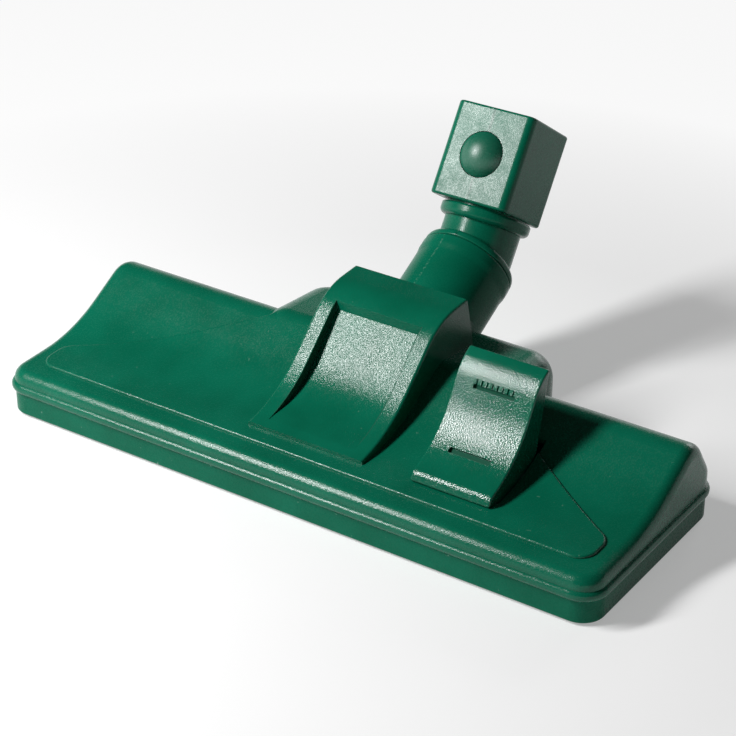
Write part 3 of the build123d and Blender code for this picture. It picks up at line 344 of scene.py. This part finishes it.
looks = {
    "top_cover": moulded_green(
        "green_shell", gloss=0.3, grain=0.24, rough=(0.16, 0.3), scuffs=0.35, mottle=0.02
    ),
    "base_tray": moulded_green(
        "green_tray", gloss=0.1, grain=0.05, rough=(0.24, 0.36), scuffs=0.8, mottle=0.02
    ),
    # The hood's rim carries a fine line of painted shade along its inner edge
    "joint_hood": moulded_green(
        "green_hood", gloss=0.27, grain=0.3, rough=(0.12, 0.27), scuffs=0.2, shade_and_dull=recess_edge_shade
    ),
    # The pedal's slot and brush mark are darkened with painted shade
    "pedal": moulded_green(
        "green_pedal", gloss=0.42, grain=0.3, rough=(0.07, 0.2), scuffs=0.15, shade_and_dull=pedal_mark_shade
    ),
    "tilt_tube": moulded_green(
        "green_tube", gloss=0.1, grain=0.04, rough=(0.24, 0.34), scuffs=0.2, mottle=0.03, extra=tube_seam
    ),
    "swivel_elbow": moulded_green(
        "green_elbow", gloss=0.19, grain=0.08, rough=(0.21, 0.3), scuffs=0.2, mottle=0.05, extra=knit_line
    ),
    "lock_button": moulded_green("green_button", gloss=0.85, grain=0.1, rough=(0.36, 0.48), scuffs=0.2),
    "inner": dark_plastic("dark_plastic"),
    "sole": drawn_steel("sole_steel", (0.03, 1.0, 1.0), (0.5, 0.5, 0.5), (0.22, 0.38)),
    "wire": drawn_steel("spring_steel", (1.0, 1.0, 1.0), (0.42, 0.42, 0.43), (0.25, 0.4)),
    "pile": cut_pile("lint_pile"),
    "seal": soft_rubber("seal_rubber", (0.01, 0.01, 0.01), (0.022, 0.022, 0.023)),
    "hair": hair("bristle"),
    "tread": soft_rubber("wheel_rubber", (0.014, 0.014, 0.015), (0.035, 0.035, 0.036)),
}

# The green pieces have a look of their own; the others share these
shared_looks = {
    "inner": ("channel_insert", "suction_duct", "brush_carrier", "retaining_ring"),
    "sole": ("glide_plate",),
    "pile": ("front_lint_strip", "rear_lint_strip"),
    "seal": ("joint_seal",),
    "hair": ("front_bristles", "rear_bristles_left", "rear_bristles_right"),
    "wire": ("pedal_pin", "pedal_spring", "button_spring", "axle_left", "axle_right", "housing_screws"),
    "tread": ("wheel_left", "wheel_right"),
}
look_of = {name: look for look, names in shared_looks.items() for name in names}

for name, piece in nodes.items():
    material = looks[look_of.get(name, name)]
    if not piece.material_slots:
        piece.data.materials.append(material)
    for holder in piece.material_slots:
        holder.material = material


# Bristle filaments, which stand for the tufts of the CAD strips


def filament(verts, faces, foot, tip, radius, turn):
    start = len(verts)
    for share, thick in ((0.0, 1.0), (0.55, 0.9), (1.0, 0.55)):
        bow = 0.12 * math.sin(math.pi * share) * (tip - foot).length
        middle = foot.lerp(tip, share) + Vector((math.cos(turn), math.sin(turn), 0.0)) * 0.25 * bow
        for corner in range(3):
            angle = turn + corner * 2.0 * math.pi / 3.0
            verts.append(middle + Vector((math.cos(angle), math.sin(angle), 0.0)) * radius * thick)
    for ring in range(2):
        low = start + 3 * ring
        for corner in range(3):
            after = (corner + 1) % 3
            faces.append((low + corner, low + after, low + 3 + after, low + 3 + corner))
    faces.append((start + 6, start + 7, start + 8))


def bristle_piece(node, seed):
    low, high = (Vector(corner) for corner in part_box(node))
    draw = random.Random(seed)
    row = (low.y + high.y) / 2.0
    strip_low = high.z - STRIP_HEIGHT
    verts = []
    faces = []
    for x in (low.x, high.x):
        for y in (low.y, high.y):
            for z in (strip_low, high.z):
                verts.append(Vector((x, y, z)))
    faces += [(0, 1, 3, 2), (4, 6, 7, 5), (0, 4, 5, 1), (2, 3, 7, 6), (0, 2, 6, 4), (1, 5, 7, 3)]
    count = int((high.x - low.x - 2.0 * TUFT_RADIUS) / TUFT_PITCH) + 1
    first = (low.x + high.x) / 2.0 - (count - 1) * TUFT_PITCH / 2.0
    for tuft in range(count):
        centre = Vector((first + tuft * TUFT_PITCH, row, strip_low + 0.0005))
        for _ in range(FILAMENTS):
            angle = draw.uniform(0.0, 2.0 * math.pi)
            reach = TUFT_RADIUS * 0.8 * math.sqrt(draw.random())
            out = Vector((math.cos(angle), math.sin(angle), 0.0))
            foot = centre + out * reach
            tip = centre + out * reach * draw.uniform(1.15, 1.45)
            tip.z = low.z + draw.uniform(0.0, 0.0007)
            filament(verts, faces, foot, tip, FILAMENT_RADIUS, angle)
    mesh = bpy.data.meshes.new(node + "_filaments")
    mesh.from_pydata(verts, [], faces)
    mesh.materials.append(looks["hair"])
    piece = bpy.data.objects.new(node + "_filaments", mesh)
    bpy.context.scene.collection.objects.link(piece)
    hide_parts(node)
    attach(piece, "brush_carrier")


for index, node in enumerate(("front_bristles", "rear_bristles_left", "rear_bristles_right")):
    bristle_piece(node, index + BRISTLE_SEED)


# Springs, copied from their own mesh where they stand


def flexing(node):
    """Copy of a spring's own mesh, which stands where the spring stands and hides the CAD part."""
    piece = bpy.data.objects.new(node + "_flexing", nodes[node].data.copy())
    bpy.context.scene.collection.objects.link(piece)
    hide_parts(node)
    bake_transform(piece)


flexing("pedal_spring")
leaf_low, leaf_high = (Vector(corner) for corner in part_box("button_spring"))
leaf = (leaf_low + leaf_high) / 2.0
leaf -= PRESS_DIR * leaf.dot(PRESS_DIR)
flexing("button_spring")


# The floor, the backdrop, the light and the camera


def pale_stage(name):
    """Pale matt surface that takes the object's shadow, with a white glow for camera, glossy and
    transmission rays that is weaker near the object, so that it paints a darker halo of shade around it
    and shows whiter further from it.
    """
    material, tree, shader = new_material(name)
    cloud = noise(tree, object_space(tree), 3.0, 2.0)
    colour = two_colours(tree, cloud, (0.96, 0.96, 0.96), (0.98, 0.98, 0.98))
    tree.links.new(colour, shader.inputs["Base Color"])
    shader.inputs["Roughness"].default_value = 0.9
    shader.inputs["Specular IOR Level"].default_value = 0.1
    path = tree.nodes.new("ShaderNodeLightPath")
    seen = sum_of(tree, "MAXIMUM", path.outputs["Is Camera Ray"], path.outputs["Is Glossy Ray"])
    seen = sum_of(tree, "MAXIMUM", seen, path.outputs["Is Transmission Ray"])
    glow = tree.nodes.new("ShaderNodeEmission")
    glow.inputs["Color"].default_value = (1.0, 1.0, 1.0, 1.0)
    glow.inputs["Strength"].default_value = 1.0
    mix = tree.nodes.new("ShaderNodeMixShader")
    reach = tree.nodes.new("ShaderNodeVectorMath")
    reach.operation = "LENGTH"
    tree.links.new(object_space(tree), reach.inputs[0])
    # Painted shade: the white glow is weaker near the object, which darkens a halo around it
    halo_glow_share = spread(tree, reach.outputs["Value"], 0.22, 0.42, 0.34, 0.88)
    tree.links.new(sum_of(tree, "MULTIPLY", seen, halo_glow_share), mix.inputs[0])
    tree.links.new(shader.outputs[0], mix.inputs[1])
    tree.links.new(glow.outputs[0], mix.inputs[2])
    tree.links.new(mix.outputs[0], tree.nodes["Material Output"].inputs["Surface"])
    return material


def stage_mesh(name, verts, faces, material):
    mesh = bpy.data.meshes.new(name)
    mesh.from_pydata(verts, [], faces)
    mesh.materials.append(material)
    piece = bpy.data.objects.new(name, mesh)
    bpy.context.scene.collection.objects.link(piece)


def low_ring(radius, low, high, count=48):
    """Corners and faces of a low round backdrop."""
    verts = []
    for index in range(count):
        angle = 2.0 * math.pi * index / count
        for z in (low, high):
            verts.append((radius * math.cos(angle), radius * math.sin(angle), z))
    faces = []
    for index in range(count):
        after = (index + 1) % count
        faces.append((2 * index, 2 * after, 2 * after + 1, 2 * index + 1))
    return verts, faces


def soft_box(name, place, target, along, width, height, watts):
    """Lamp with a rectangular face, whose height runs along the given direction."""
    data = bpy.data.lights.new(name, "AREA")
    data.shape = "RECTANGLE"
    data.size = width
    data.size_y = height
    data.energy = watts
    lamp = bpy.data.objects.new(name, data)
    bpy.context.scene.collection.objects.link(lamp)
    lamp.location = place
    look = (Vector(target) - Vector(place)).normalized()
    side = look.cross(Vector(along)).normalized()
    lamp.rotation_euler = Matrix((side, side.cross(look), -look)).transposed().to_euler()


def dim_room(strength):
    world = bpy.data.worlds.new("dim_room")
    world.use_nodes = True
    bpy.context.scene.world = world
    room = world.node_tree.nodes["Background"]
    room.inputs["Color"].default_value = (1.0, 1.0, 1.0, 1.0)
    room.inputs["Strength"].default_value = strength


floor_z = cad_box[0][2] - FLOOR_DROP
corners = [(x * FLOOR_HALF, y * FLOOR_HALF, floor_z) for x, y in ((-1, -1), (1, -1), (1, 1), (-1, 1))]
stage_mesh("floor", corners, [(0, 1, 2, 3)], pale_stage("pale_floor"))
ring = low_ring(BACKDROP_RADIUS, floor_z - 0.01, BACKDROP_HEIGHT)
stage_mesh("backdrop", *ring, pale_stage("pale_backdrop"))
dim_room(0.035)
soft_box("key", LIGHT_AIM + KEY_DIR * KEY_AWAY, LIGHT_AIM, (0.0, 0.8, 0.6), 0.126, 0.42, 8.6)
soft_box("rear", LIGHT_AIM + REAR_DIR * REAR_AWAY, LIGHT_AIM, (0.0, 0.0, 1.0), 0.9, 0.5, 5.5)

camera_data = bpy.data.cameras.new("camera")
camera = bpy.data.objects.new("camera", camera_data)
bpy.context.scene.collection.objects.link(camera)
camera.location = CAMERA_PLACE
camera.rotation_euler = (CAMERA_SIGHT - CAMERA_PLACE).to_track_quat("-Z", "Y").to_euler()
camera_data.lens = CAMERA_LENS
camera_data.sensor_width = CAMERA_SENSOR
bpy.context.scene.camera = camera
bpy.context.scene.view_settings.view_transform = "Standard"
